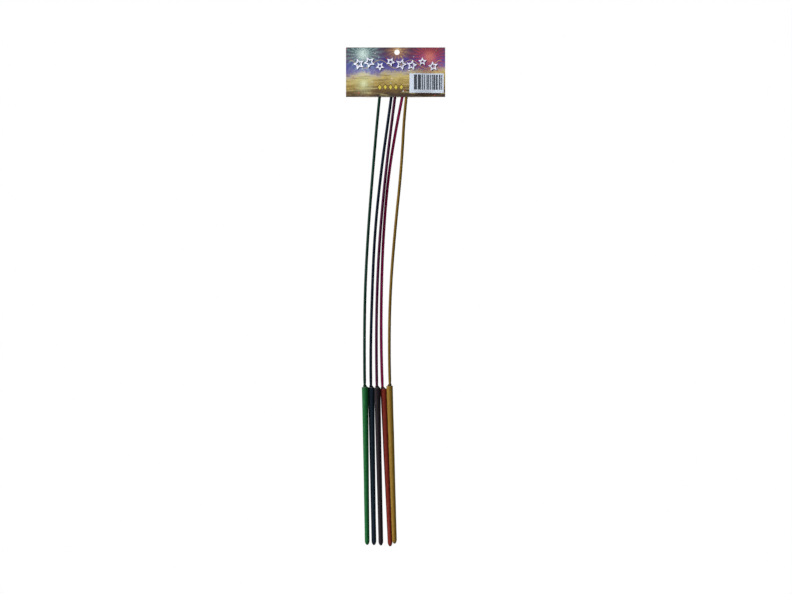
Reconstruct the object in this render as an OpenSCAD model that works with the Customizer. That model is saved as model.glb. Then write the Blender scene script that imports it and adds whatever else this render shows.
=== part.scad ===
// Pack of five hand-held stick fountains, hung under a folded header card.
// Millimetres. Origin at the centre of the hang hole, X to the right, Y to the back, Z up.

/* [Header card] */
// width of the folded card
card_w = 100; // [94:1:140]
// height of the folded card
card_h = 50; // [46:1:70]
// thickness of one ply
card_t = 0.4; // [0.3:0.05:0.6]
// diameter of the hang hole
hole_d = 5.3; // [4:0.1:7]
// centre of the hang hole below the fold
hole_drop = 5; // [4.5:0.5:7]
// centre of the hang hole to the right of the card's middle
hole_shift = 1.4; // [-4:0.1:4]

/* [Tape strip] */
// height of the strip
tape_w = 18; // [10:1:22]
// thickness of the strip
tape_t = 0.3; // [0.1:0.05:0.4]
// distance of the strip from the card's edges
tape_inset = 3; // [2:0.5:6]

/* [Sticks] */
// diameter of a stick
stick_d = 2.7; // [2.2:0.1:3]
// length of a stick above the tube's mouth
stick_l = 315; // [260:1:360]
// length of a stick held inside the card
hold = 22; // [16:1:28]
// depth of a stick's end in its plug
seat = 20; // [12:1:26]

/* [Tubes] */
// length of a tube
tube_l = 155.5; // [120:0.5:180]
// outer diameter at the mouth
mouth_d = 6.4; // [5.8:0.05:7.5]
// outer diameter at the tip end
end_d = 4.4; // [4.2:0.1:5.4]
// thickness of the rolled wall
tube_wall = 0.4; // [0.3:0.05:0.5]
// clay left under the stick's end
plug_floor = 3; // [2:0.5:8]
// height of the clay collar round the stick
collar_h = 1.8; // [0.6:0.1:2.4]
// length of the pointed nose
nose_l = 3.5; // [2.5:0.5:6]
// length of the nose's spigot inside the tube
spigot_l = 5; // [3:0.5:10]

/* [Bunch] */
// middle tube's mouth to the right of the hang hole
bunch_x = -19.8; // [-26:0.2:-12]
// clear space between neighbouring tubes at their mouths
tube_gap = 0.35; // [0.3:0.05:1.6]
// distance between the front and back layers at the tips
tip_spread = 2.4; // [1.5:0.1:4]

/* [Hidden] */
$fn = 48;
// clearance of a piece inside a tube
fit = 0.05;
// clearance between a stick and the tape
grip = 0.15;
// clearance between a stick and a ply
ply_clear = 0.2;
// clearance between the tape and a ply at the sides
bond = 0.02;
// card kept flat below the hang hole
press_rim = 1.5;
// free space above the stick ends
end_clear = 1.5;
// free space beside the outer sticks
side_clear = 1.5;
// widest swell from a flat side to the pocket
swell = 24;
// least flat side of the card
side_flat = 4;
// least clay between a stick and the tube
seat_wall = 0.2;
// clay round the stick at the collar's top
collar_rim = 0.25;
// height of the collar's upright edges
collar_edge = 0.15;
// sides of the collar's outline
collar_sides = 32;
// least distance from the collar's foot to the plug's edge
collar_in = 0.1;
// how the tubes' taper eases off: 1 is a straight cone
taper = 1.6;
// radius of the nose's blunt end
nose_r = 0.6;
// how the nose rounds off: 1 is a straight cone
nose_round = 0.5;
// depth of the clay below the tube's rim
recess = 0.4;
// steps of the curved outlines
taper_steps = 10;
swell_steps = 8;
fold_steps = 8;
bow_steps = 6;
stick_sides = 16;

// One row a fountain, from left to right: lean in degrees at equal steps up the stick.
// The first lean is also the tube's.
bow = [
    [-0.8, 0.5, 3, 4.5, 5, 6.5],
    [-1, 1.5, 2.5, 6, 8, 7.5],
    [-1.3, 0.5, 3, 5.5, 7, 7.5],
    [-2.45, 0, 2, 5, 10, 12],
    [-1.8, 1, 4.5, 6, 3, 8]
];
// how far each fountain hangs below the common level
drop = [0, 1, 1, 3, -1];
// layer of each fountain: 1 is at the back, -1 at the front
layer = [-1, 1, -1, 1, -1];
// how far each stick stands off its tube's axis, as a share of the room there
bias = [0.3, 0.25, 0.4, 1, -0.4];
last = len(bow) - 1;
arcs = len(bow[0]) - 1;
arc_l = stick_l / arcs;

card_left = -card_w / 2 - hole_shift;
card_right = card_w / 2 - hole_shift;
card_bottom = hole_drop - card_h;
ply_gap = tape_t + 2 * bond;
stick_r = stick_d / 2;
stick_top = card_bottom + hold;
layer_y = tape_t / 2 + grip + stick_r;
pocket = layer_y + stick_r + ply_clear;

// Tubes taper from the mouth down, less and less towards the tip.
function tube_r(s) = (end_d + (mouth_d - end_d) * pow(max(0, 1 - s / tube_l), taper)) / 2;
function bore_r(s) = tube_r(s) - tube_wall;
function steps(a, b, n) = [for (k = [0 : n]) a + (b - a) * k / n];

// The stick's centre line is a chain of equal arcs that meet in line:
// how far across and up it goes along the share f of arc k, and over the first k arcs.
function lean(i, k, f) = bow[i][k] + f * (bow[i][k + 1] - bow[i][k]);
function arc_r(i, k) = arc_l * 180 / (PI * (bow[i][k + 1] - bow[i][k]));
function arc_run(i, k, f) = bow[i][k] == bow[i][k + 1]
    ? f * arc_l * [sin(bow[i][k]), cos(bow[i][k])]
    : arc_r(i, k) * [cos(bow[i][k]) - cos(lean(i, k, f)), sin(lean(i, k, f)) - sin(bow[i][k])];
function run(i, k) = k == 0 ? [0, 0] : run(i, k - 1) + arc_run(i, k - 1, 1);

plug_l = seat + plug_floor;
seat_room = max(0, bore_r(seat) - 2 * fit - stick_r - seat_wall);
function off_axis(i) = bias[i] * seat_room;

// The two layers run straight from the stick ends to the tips, where they lie nearer to each other.
fountain_l = run(0, arcs)[1] + tube_l + nose_l;
splay = atan((tip_spread / 2 - layer_y) / fountain_l);
mouth_spread = 2 * (layer_y + run(0, arcs)[1] * tan(splay));
pitch = sqrt(pow(mouth_d + tube_gap, 2) - pow(mouth_spread, 2));
function mouth_x(i) = bunch_x + (i - last / 2) * pitch;
function mouth_z(i) = stick_top - drop[i] - run(i, arcs)[1];
function end_x(i) = mouth_x(i) - off_axis(i) + run(i, arcs)[0];
function edge_x(i) = end_x(i) - (hold - drop[i]) * tan(bow[i][arcs]);

// The pocket between the plies takes in every stick end.
held_x = [for (i = [0 : last]) each [end_x(i), edge_x(i)]];
pocket_left = min(held_x) - stick_r - side_clear;
pocket_right = max(held_x) + stick_r + side_clear;
pocket_top = stick_top - min(drop) + end_clear;
press_z = -hole_d / 2 - press_rim;
fold_z = hole_drop - card_t - ply_gap / 2;
function ease(t) = let (c = max(0, min(1, t))) c * c * (3 - 2 * c);
left_swell = min(swell, pocket_left - card_left - side_flat);
right_swell = min(swell, card_right - pocket_right - side_flat);
function side_swell(x) = ease(min((x - pocket_left) / left_swell, (pocket_right - x) / right_swell) + 1);
function drop_swell(z) = ease((press_z - z) / (press_z - pocket_top));
function half_gap(x, z) = ply_gap / 2 + (pocket - ply_gap / 2) * side_swell(x) * drop_swell(z);

card_xs = concat(
    [card_left],
    steps(pocket_left - left_swell, pocket_left, swell_steps),
    steps(pocket_right, pocket_right + right_swell, swell_steps),
    [card_right]
);
card_zs = concat([card_bottom], steps(pocket_top, press_z, swell_steps), [fold_z]);
rows = len(card_zs);
cols = len(card_xs);
fold_angles = [for (k = [1 : fold_steps - 1]) 180 * k / fold_steps];

// One line of the folded sheet at x, from the front edge over the fold to the back edge;
// grow is 0 on the sheet's inner face and card_t on its outer face.
function sheet_line(x, grow) = concat(
    [for (z = card_zs) [x, -half_gap(x, z) - grow, z]],
    [for (a = fold_angles) [x, -(ply_gap / 2 + grow) * cos(a), fold_z + (ply_gap / 2 + grow) * sin(a)]],
    [for (k = [rows - 1 : -1 : 0]) [x, half_gap(x, card_zs[k]) + grow, card_zs[k]]]
);
line_n = 2 * rows + len(fold_angles);
side_n = cols * line_n;
function at(i, j, side) = side * side_n + i * line_n + j;
function two(a, b, c, d) = [[a, b, c], [a, c, d]];

module folded_sheet() {
    outer = [for (x = card_xs) each sheet_line(x, card_t)];
    inner = [for (x = card_xs) each sheet_line(x, 0)];
    skin = [for (i = [0 : cols - 2]) for (j = [0 : line_n - 2]) each concat(
        two(at(i, j, 0), at(i, j + 1, 0), at(i + 1, j + 1, 0), at(i + 1, j, 0)),
        two(at(i, j, 1), at(i + 1, j, 1), at(i + 1, j + 1, 1), at(i, j + 1, 1))
    )];
    ends = [for (j = [0 : line_n - 2]) each concat(
        two(at(0, j, 0), at(0, j, 1), at(0, j + 1, 1), at(0, j + 1, 0)),
        two(at(cols - 1, j, 0), at(cols - 1, j + 1, 0), at(cols - 1, j + 1, 1), at(cols - 1, j, 1))
    )];
    edges = [for (i = [0 : cols - 2]) each concat(
        two(at(i, 0, 0), at(i + 1, 0, 0), at(i + 1, 0, 1), at(i, 0, 1)),
        two(at(i, line_n - 1, 0), at(i, line_n - 1, 1), at(i + 1, line_n - 1, 1), at(i + 1, line_n - 1, 0))
    )];
    polyhedron(points = concat(outer, inner), faces = concat(skin, ends, edges));
}

// A body turned about the tube's axis between two depths, in from the bore by the clearance.
module filling(from, to) {
    rotate_extrude()
        polygon(concat(
            [[0, -from]],
            [for (s = steps(from, to, taper_steps)) [bore_r(s) - fit, -s]],
            [[0, -to]]
        ));
}

// Places along a stick's centre line, as across, up and lean, from its seat to its upper end.
function stick_line(i) = concat(
    [[-seat * sin(bow[i][0]), -seat * cos(bow[i][0]), bow[i][0]]],
    [[0, 0, bow[i][0]]],
    [for (k = [0 : arcs - 1]) for (f = steps(0, 1, bow_steps)) if (f > 0)
        concat(run(i, k) + arc_run(i, k, f), [lean(i, k, f)])]
);
function ring(p) = [for (t = [1 : stick_sides]) let (a = 360 * t / stick_sides)
    [p[0] + stick_r * cos(a) * cos(p[2]), stick_r * sin(a), p[1] - stick_r * cos(a) * sin(p[2])]];

module swept_stick(i) {
    line = stick_line(i);
    n = stick_sides;
    top = (len(line) - 1) * n;
    wall = [for (k = [0 : len(line) - 2]) for (j = [0 : n - 1]) let (m = (j + 1) % n)
        each two(k * n + j, (k + 1) * n + j, (k + 1) * n + m, k * n + m)];
    foot = [for (j = [1 : n - 2]) [0, j, j + 1]];
    head = [for (j = [1 : n - 2]) [top, top + j + 1, top + j]];
    polyhedron(points = [for (p = line) each ring(p)], faces = concat(wall, foot, head));
}

// Puts a fountain, drawn about its tube's mouth, at its place in the bunch.
module hung(i) {
    translate([0, layer[i] * layer_y, stick_top])
        rotate([layer[i] * splay, 0, 0])
            translate([mouth_x(i), 0, mouth_z(i) - stick_top])
                children();
}

// Puts a piece, drawn about the tube's upright axis, at its fountain's place and lean.
module on_tube(i) {
    hung(i)
        rotate([0, bow[i][0], 0])
            children();
}

module stick(i) {
    hung(i)
        translate(-off_axis(i) * [cos(bow[i][0]), 0, -sin(bow[i][0])])
            swept_stick(i);
}

module tube(i) {
    on_tube(i)
        rotate_extrude()
            polygon(concat(
                [for (s = steps(0, tube_l, taper_steps)) [tube_r(s), -s]],
                [for (s = steps(tube_l, 0, taper_steps)) [bore_r(s), -s]]
            ));
}

// The clay fills the tube's mouth and is drawn up to the stick from the mouth's open side.
module collar(i) {
    edge_r = bore_r(recess) - fit - collar_in;
    head_r = min(edge_r - abs(off_axis(i)), stick_r + fit + collar_rim);
    foot_r = (edge_r + abs(off_axis(i)) + head_r) / 2;
    hull() {
        translate([sign(off_axis(i)) * (edge_r - foot_r), 0, -recess])
            cylinder(h = collar_edge, r = foot_r, $fn = collar_sides);
        translate([-off_axis(i), 0, collar_h - collar_edge])
            cylinder(h = collar_edge, r = head_r, $fn = collar_sides);
    }
}

module plug(i) {
    on_tube(i)
        difference() {
            union() {
                filling(recess, plug_l);
                collar(i);
            }
            translate([-off_axis(i), 0, -seat - fit])
                cylinder(h = seat + 2 * fit + collar_h, r = stick_r + fit);
        }
}

module charge(i) {
    on_tube(i)
        filling(plug_l + fit, tube_l - spigot_l - fit);
}

module tip(i) {
    shoulder_r = tube_r(tube_l);
    on_tube(i) {
        translate([0, 0, -tube_l])
            cylinder(h = spigot_l, r = bore_r(tube_l) - fit);
        translate([0, 0, -tube_l - nose_l])
            rotate_extrude()
                polygon(concat(
                    [[0, 0], [nose_r, 0]],
                    [for (t = steps(0.1, 1, taper_steps)) [nose_r + (shoulder_r - nose_r) * pow(t, nose_round), nose_l * t]],
                    [[0, nose_l]]
                ));
    }
}

module header_card() {
    color([0.55, 0.5, 0.62])
        difference() {
            folded_sheet();
            rotate([90, 0, 0])
                cylinder(h = 4 * pocket, d = hole_d, center = true);
        }
}

module tape_strip() {
    color([0.85, 0.84, 0.78])
        translate([card_left + tape_inset, -tape_t / 2, card_bottom + tape_inset])
            cube([card_w - 2 * tape_inset, tape_t, tape_w]);
}

module stick_green() {
    color([0.08, 0.2, 0.15]) stick(0);
}

module tube_green() {
    color([0.1, 0.38, 0.17]) tube(0);
}

module plug_green() {
    color([0.24, 0.21, 0.18]) plug(0);
}

module charge_green() {
    color([0.22, 0.22, 0.22]) charge(0);
}

module tip_green() {
    color([0.06, 0.22, 0.1]) tip(0);
}

module stick_navy() {
    color([0.07, 0.11, 0.18]) stick(1);
}

module tube_navy() {
    color([0.09, 0.12, 0.18]) tube(1);
}

module plug_navy() {
    color([0.24, 0.21, 0.18]) plug(1);
}

module charge_navy() {
    color([0.22, 0.22, 0.22]) charge(1);
}

module tip_navy() {
    color([0.05, 0.07, 0.12]) tip(1);
}

module stick_purple() {
    color([0.24, 0.1, 0.18]) stick(2);
}

module tube_purple() {
    color([0.14, 0.1, 0.14]) tube(2);
}

module plug_purple() {
    color([0.24, 0.21, 0.18]) plug(2);
}

module charge_purple() {
    color([0.22, 0.22, 0.22]) charge(2);
}

module tip_purple() {
    color([0.07, 0.05, 0.07]) tip(2);
}

module stick_red() {
    color([0.42, 0.12, 0.24]) stick(3);
}

module tube_red() {
    color([0.45, 0.16, 0.13]) tube(3);
}

module plug_red() {
    color([0.24, 0.21, 0.18]) plug(3);
}

module charge_red() {
    color([0.22, 0.22, 0.22]) charge(3);
}

module tip_red() {
    color([0.28, 0.09, 0.08]) tip(3);
}

module stick_yellow() {
    color([0.42, 0.35, 0.2]) stick(4);
}

module tube_yellow() {
    color([0.53, 0.41, 0.16]) tube(4);
}

module plug_yellow() {
    color([0.24, 0.21, 0.18]) plug(4);
}

module charge_yellow() {
    color([0.22, 0.22, 0.22]) charge(4);
}

module tip_yellow() {
    color([0.33, 0.25, 0.09]) tip(4);
}

header_card();
tape_strip();
stick_green();
tube_green();
plug_green();
charge_green();
tip_green();
stick_navy();
tube_navy();
plug_navy();
charge_navy();
tip_navy();
stick_purple();
tube_purple();
plug_purple();
charge_purple();
tip_purple();
stick_red();
tube_red();
plug_red();
charge_red();
tip_red();
stick_yellow();
tube_yellow();
plug_yellow();
charge_yellow();
tip_yellow();
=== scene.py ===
"""Looks of a hanging pack of five stick fountains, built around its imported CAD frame."""

import logging
import math
from dataclasses import dataclass
from enum import Enum
from functools import partial
from itertools import product
from typing import Callable, Protocol, Sequence, Union

import bmesh
import bpy
from mathutils import Matrix, Vector
from mathutils import noise as soft_noise


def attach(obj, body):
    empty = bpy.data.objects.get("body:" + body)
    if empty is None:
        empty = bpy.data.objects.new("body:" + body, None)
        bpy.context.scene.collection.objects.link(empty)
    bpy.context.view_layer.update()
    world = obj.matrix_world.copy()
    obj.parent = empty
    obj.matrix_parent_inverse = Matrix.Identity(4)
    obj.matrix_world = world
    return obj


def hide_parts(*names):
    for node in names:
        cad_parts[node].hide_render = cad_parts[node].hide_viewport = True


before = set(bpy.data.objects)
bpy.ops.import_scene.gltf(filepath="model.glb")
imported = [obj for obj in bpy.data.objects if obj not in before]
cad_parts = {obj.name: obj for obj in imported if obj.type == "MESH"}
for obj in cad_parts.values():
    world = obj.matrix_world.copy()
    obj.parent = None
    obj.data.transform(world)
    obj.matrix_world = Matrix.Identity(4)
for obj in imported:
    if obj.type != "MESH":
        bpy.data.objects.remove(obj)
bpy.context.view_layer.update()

LOG = logging.getLogger("stick_fountains")
MM = 0.001
MM_PER_M = 1000.0
IMAGE_WIDTH = 792
STRAIGHT = 1e-9  # radians; a smaller change of lean counts as none

Colour = tuple[float, float, float, float]
Socket = bpy.types.NodeSocket
Amount = Union["Field", float]
Ink = Union[Socket, Colour]
Fed = Union["Field", Socket, Colour, float, str, bool]
RadiusAt = Callable[[float], float]

WHITE: Colour = (1.0, 1.0, 1.0, 1.0)
BLACK: Colour = (0.0, 0.0, 0.0, 1.0)


def srgb(red: int, green: int, blue: int) -> Colour:
    """Turns a screen colour into the linear colour that shaders take.

    Args:
        red: red share, 0 to 255.
        green: green share, 0 to 255.
        blue: blue share, 0 to 255.

    Returns:
        The linear colour with full alpha.
    """
    def linear(level: int) -> float:
        """Linear light of one screen level."""
        share = level / 255
        return share / 12.92 if share <= 0.04045 else ((share + 0.055) / 1.055) ** 2.4

    return (linear(red), linear(green), linear(blue), 1.0)


def shade(colour: Colour, share: float, lift: float = 0.0) -> Colour:
    """A colour scaled by a share and then lifted evenly."""
    return tuple(share * part + lift for part in colour[:3]) + (1.0,)


def ease(share: float) -> float:
    """Smooth step from 0 to 1, flat at both ends."""
    held = max(0.0, min(1.0, share))
    return held * held * (3 - 2 * held)


class Dye(Enum):
    """The five dyes, from left to right in the pack."""

    GREEN = "green"
    NAVY = "navy"
    PURPLE = "purple"
    RED = "red"
    YELLOW = "yellow"


class Layer(Enum):
    """The side of the tape on which a stick lies."""

    FRONT = -1
    BACK = 1


def feed(tree: bpy.types.NodeTree, socket: Socket, value: Fed) -> None:
    """Links or sets one input of a node.

    Args:
        tree: the node's tree.
        socket: the input.
        value: a field or socket to link, or a plain value to set.
    """
    source = value.socket if isinstance(value, Field) else value
    if isinstance(source, Socket):
        tree.links.new(source, socket)
    else:
        socket.default_value = source


class Field:
    """A number that varies over a surface or along a curve; arithmetic on it adds Math nodes."""

    def __init__(self, tree: bpy.types.NodeTree, socket: Socket) -> None:
        """Keeps the tree and the socket that gives the number."""
        self.tree = tree
        self.socket = socket

    def math(self, operation: str, *others: Amount, clamp: bool = False) -> "Field":
        """Adds one Math node.

        Args:
            operation: the node's operation name.
            others: the operation's further inputs.
            clamp: whether the result is held between 0 and 1.

        Returns:
            The result as a field.
        """
        node = self.tree.nodes.new("ShaderNodeMath")
        node.operation = operation
        node.use_clamp = clamp
        for socket, value in zip(node.inputs, (self, *others)):
            feed(self.tree, socket, value)
        return Field(self.tree, node.outputs[0])

    def __add__(self, other: Amount) -> "Field":
        """Sum."""
        return self.math("ADD", other)

    def __sub__(self, other: Amount) -> "Field":
        """Difference."""
        return self.math("SUBTRACT", other)

    def __mul__(self, other: Amount) -> "Field":
        """Product."""
        return self.math("MULTIPLY", other)

    def __truediv__(self, other: Amount) -> "Field":
        """Quotient."""
        return self.math("DIVIDE", other)

    def held(self) -> "Field":
        """The number held between 0 and 1."""
        return self.math("ADD", 0.0, clamp=True)

    def flipped(self) -> "Field":
        """One minus the number."""
        return self * -1.0 + 1.0

    def rise(self, low: float, high: float) -> "Field":
        """Smooth step.

        Args:
            low: where the step starts, at 0; it may lie above high for a falling step.
            high: where the step ends, at 1.

        Returns:
            The stepped field.
        """
        node = self.tree.nodes.new("ShaderNodeMapRange")
        node.interpolation_type = "SMOOTHSTEP"
        start, end = (0.0, 1.0) if low <= high else (1.0, 0.0)
        limits = {"From Min": min(low, high), "From Max": max(low, high), "To Min": start, "To Max": end}
        feed(self.tree, node.inputs["Value"], self)
        for name, limit in limits.items():
            feed(self.tree, node.inputs[name], limit)
        return Field(self.tree, node.outputs["Result"])

    def between(self, low: float, high: float, soft: float) -> "Field":
        """One inside a span and zero outside it, with soft ends.

        Args:
            low: start of the span.
            high: end of the span.
            soft: width of each end.

        Returns:
            The span's mask.
        """
        return self.rise(low - soft, low + soft) * self.rise(high + soft, high - soft)


class Wiring:
    """A node tree in the making, with short words for its nodes."""

    def __init__(self, tree: bpy.types.NodeTree) -> None:
        """Keeps the tree."""
        self.tree = tree

    def add(self, kind: str, **inputs: Fed) -> bpy.types.Node:
        """Adds a node and feeds its inputs.

        Args:
            kind: the node's type.
            inputs: input names, with _ for a space, and what goes into them.

        Returns:
            The node.
        """
        node = self.tree.nodes.new(kind)
        for name, value in inputs.items():
            feed(self.tree, node.inputs[name.replace("_", " ")], value)
        return node

    def number(self, socket: Socket) -> Field:
        """A socket's number as a field."""
        return Field(self.tree, socket)

    def joined(self, x: Amount, y: Amount, z: Amount) -> Socket:
        """One vector from three numbers."""
        return self.add("ShaderNodeCombineXYZ", X=x, Y=y, Z=z).outputs[0]

    def parts(self, vector: Socket) -> tuple[Field, ...]:
        """The three numbers of a vector."""
        return tuple(map(self.number, self.add("ShaderNodeSeparateXYZ", Vector=vector).outputs))


class Surface(Wiring):
    """A material in the making."""

    def __init__(self, name: str) -> None:
        """Starts a material with a principled shader.

        Args:
            name: the material's name.
        """
        self.material = bpy.data.materials.new(name)
        self.material.use_nodes = True
        super().__init__(self.material.node_tree)
        self.shader = self.tree.nodes["Principled BSDF"]

    def place(self) -> tuple[Field, ...]:
        """Object coordinates in millimetres, as three fields."""
        where = self.add("ShaderNodeTexCoord").outputs["Object"]
        return tuple(part * MM_PER_M for part in self.parts(where))

    def body(self) -> Socket:
        """Object coordinates in millimetres, as one vector."""
        return self.joined(*self.place())

    def own(self, name: str) -> tuple[Field, ...]:
        """Reads the piece's own vector attribute.

        Args:
            name: the attribute's name.

        Returns:
            Its three numbers.
        """
        reader = self.add("ShaderNodeAttribute")
        reader.attribute_name = name
        return self.parts(reader.outputs["Vector"])

    def stretched(self, own: Sequence[Field], around: float, along: float) -> Socket:
        """A round piece's own direction and length, each scaled by its own number."""
        x, y, length = own
        return self.joined(x * around, y * around, length * along)

    def cloud(self, vector: Socket, scale: float, detail: float = 3.0, rough: float = 0.55) -> Field:
        """Adds a noise texture.

        Args:
            vector: where the noise is read.
            scale: how fine it is.
            detail: number of octaves.
            rough: strength of the finer octaves.

        Returns:
            The noise, about 0.5 on average.
        """
        node = self.add("ShaderNodeTexNoise", Vector=vector, Scale=scale, Detail=detail, Roughness=rough)
        return self.number(node.outputs["Fac"])

    def scatter(self, vector: Socket, scale: float) -> tuple[Field, Socket]:
        """Scattered points: the distance to the nearest one, and a random colour for it."""
        node = self.add("ShaderNodeTexVoronoi", Vector=vector, Scale=scale)
        return self.number(node.outputs["Distance"]), node.outputs["Color"]

    def ramp(self, share: Field, stops: Sequence[tuple[float, Colour]], steps: bool = False) -> Socket:
        """Adds a colour ramp.

        Args:
            share: where on the ramp each point lies.
            stops: places and colours.
            steps: whether the colours change in steps.

        Returns:
            The colour socket.
        """
        node = self.add("ShaderNodeValToRGB", Fac=share)
        node.color_ramp.interpolation = "CONSTANT" if steps else "EASE"
        elements = node.color_ramp.elements
        elements.remove(elements[1])
        elements[0].position, elements[0].color = stops[0]
        for position, colour in stops[1:]:
            elements.new(position).color = colour
        return node.outputs["Color"]

    def mix(self, share: Amount, first: Ink, second: Ink) -> Socket:
        """Mixes two colours.

        Args:
            share: how much of the second colour shows.
            first: what shows at 0.
            second: what shows at 1.

        Returns:
            The mixed colour's socket.
        """
        node = self.add("ShaderNodeMix")
        node.data_type = "RGBA"
        factor = next(s for s in node.inputs if s.identifier == "Factor_Float")
        feed(self.tree, factor, share.held() if isinstance(share, Field) else share)
        for socket, value in zip([s for s in node.inputs if s.type == "RGBA"], (first, second)):
            feed(self.tree, socket, value)
        return next(s for s in node.outputs if s.type == "RGBA")

    def put(self, name: str, value: Fed) -> None:
        """Feeds one of the shader's inputs."""
        feed(self.tree, self.shader.inputs[name], value)

    def finished(
        self, colour: Ink, rough: Amount, relief: Field, depth: float, shine: float = 0.5,
    ) -> bpy.types.Material:
        """Feeds the shader.

        Args:
            colour: the surface's colour.
            rough: its roughness.
            relief: height field of its relief.
            depth: how far a height of 1 stands out, in millimetres.
            shine: its specular level.

        Returns:
            The finished material.
        """
        raised = self.add("ShaderNodeBump", Strength=1.0, Distance=depth * MM, Height=relief)
        self.put("Base Color", colour)
        self.put("Roughness", rough)
        self.put("Specular IOR Level", shine)
        self.put("Normal", raised.outputs["Normal"])
        return self.material


@dataclass(frozen=True)
class Sheet:
    """The card's outside as its print sees it, in millimetres from its lower left corner."""

    paint: Surface
    u: Field
    v: Field
    flat: Socket
    front: Field

    def lay(self, share: Field, under: Ink, over: Ink) -> Socket:
        """Prints one colour over another on the card's front alone."""
        return self.paint.mix(share * self.front, under, over)


class Motif(Protocol):
    """Something that is printed on the card."""

    def lay(self, sheet: Sheet, under: Socket) -> Socket:
        """Prints the motif over what is there and gives the new colour."""


@dataclass(frozen=True)
class Dusk:
    """The print's ground: evening colours from brown over sand to violet and plum, with grain.

    Lengths are millimetres up the card.
    """

    height: float = 50.0
    lowered: float = 8.5
    slant: float = 0.08
    drift: float = 14.0
    grain: float = 9.0
    sand_top: float = 27.0
    sand_full: float = 20.0
    stops: tuple[tuple[float, Colour], ...] = (
        (0.0, srgb(58, 42, 34)),
        (0.12, srgb(98, 76, 44)),
        (0.26, srgb(160, 136, 72)),
        (0.38, srgb(186, 168, 104)),
        (0.46, srgb(172, 160, 138)),
        (0.54, srgb(104, 98, 152)),
        (0.68, srgb(66, 60, 140)),
        (0.84, srgb(76, 48, 82)),
        (1.0, srgb(48, 36, 56)),
    )
    dark_streak: Colour = srgb(92, 70, 38)
    pale_streak: Colour = srgb(206, 192, 132)

    def colour(self, sheet: Sheet) -> Socket:
        """Prints the ground colours and the streaks along the sand.

        Args:
            sheet: the card's outside.

        Returns:
            The ground's colour.
        """
        paint = sheet.paint
        drift = paint.cloud(sheet.flat, 0.07) * self.drift
        grain = paint.cloud(sheet.flat, 0.55, 4.0, 0.7) * self.grain
        level = (sheet.v - sheet.u * self.slant + drift + grain - self.lowered) / self.height
        ground = paint.ramp(level, self.stops)
        streak = paint.cloud(paint.joined(sheet.u * 0.1, sheet.v, 7.0), 0.42, rough=0.6)
        sand = sheet.v.rise(self.sand_top, self.sand_full)
        ground = paint.mix(streak.rise(0.52, 0.66) * sand * 0.6, ground, self.dark_streak)
        return paint.mix(streak.rise(0.46, 0.32) * sand * 0.5, ground, self.pale_streak)


@dataclass(frozen=True)
class SparkBurst:
    """One burst of sparks: its centre and reach in millimetres, its count of rays and its inks."""

    across: float
    up: float
    reach: float
    rays: float
    colour: Colour
    core: Colour
    strength: float


@dataclass(frozen=True)
class Sparks:
    """Bursts of broken rays, loose sparks and bright cores."""

    bursts: tuple[SparkBurst, ...] = (
        SparkBurst(17, 43, 27, 23, srgb(134, 170, 168), srgb(214, 236, 228), strength=1.15),
        SparkBurst(84, 40, 27, 27, srgb(178, 60, 54), srgb(212, 122, 104), strength=1.15),
        SparkBurst(52, 47, 17, 15, srgb(190, 140, 92), srgb(226, 196, 150), strength=0.8),
        SparkBurst(18, 13, 15, 19, srgb(150, 168, 130), srgb(206, 214, 176), strength=0.7),
    )
    thinness: float = 1.6
    haze: float = 0.35
    loose: float = 0.6

    def lay(self, sheet: Sheet, under: Socket) -> Socket:
        """Prints the bursts one over another.

        Args:
            sheet: the card's outside.
            under: what is printed already.

        Returns:
            The new colour.
        """
        paint = sheet.paint
        broken = paint.cloud(sheet.flat, 1.1, rough=0.7).rise(0.4, 0.6)
        wander = paint.cloud(sheet.flat, 0.16, 2.0) * 6.0
        near, _ = paint.scatter(sheet.flat, 0.85)
        loose = near.rise(0.3, 0.12)
        for burst in self.bursts:
            du, dv = sheet.u - burst.across, sheet.v - burst.up
            reach = (du * du + dv * dv).math("SQRT") / burst.reach
            turn = dv.math("ARCTAN2", du) * burst.rays + wander
            ray = (turn.math("COSINE") * 0.5 + 0.5).math("POWER", self.thinness)
            fall = reach.rise(1.0, 0.15)
            haze = reach.rise(0.9, 0.0) * self.haze
            spark = (ray * broken * fall + loose * fall * self.loose) * burst.strength + haze
            under = sheet.lay(spark, under, burst.colour)
            glow = reach.rise(0.34, 0.0) * (broken * 0.7 + 0.3)
            core = glow + loose * ray * reach.rise(0.7, 0.2) * self.loose
            under = sheet.lay(core * burst.strength, under, burst.core)
        return under


@dataclass(frozen=True)
class Confetti:
    """Small round confetti of a few colours, scattered by a fixed pattern.

    The size and the softness are shares of the pattern's cell.
    """

    density: float = 0.17
    size: float = 0.115
    soft: float = 0.01
    strength: float = 0.8
    papers: tuple[tuple[float, Colour], ...] = (
        (0.0, srgb(170, 60, 52)),
        (0.26, srgb(206, 178, 88)),
        (0.52, srgb(160, 194, 190)),
        (0.76, srgb(216, 212, 210)),
    )

    def lay(self, sheet: Sheet, under: Socket) -> Socket:
        """Prints the dots.

        Args:
            sheet: the card's outside.
            under: what is printed already.

        Returns:
            The new colour.
        """
        paint = sheet.paint
        distance, random = paint.scatter(paint.joined(sheet.u, sheet.v, 3.0), self.density)
        pick = paint.number(paint.add("ShaderNodeSeparateColor", Color=random).outputs[0])
        dot = distance.rise(self.size + self.soft, self.size - self.soft)
        return sheet.lay(dot * self.strength, under, paint.ramp(pick, self.papers, steps=True))


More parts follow.
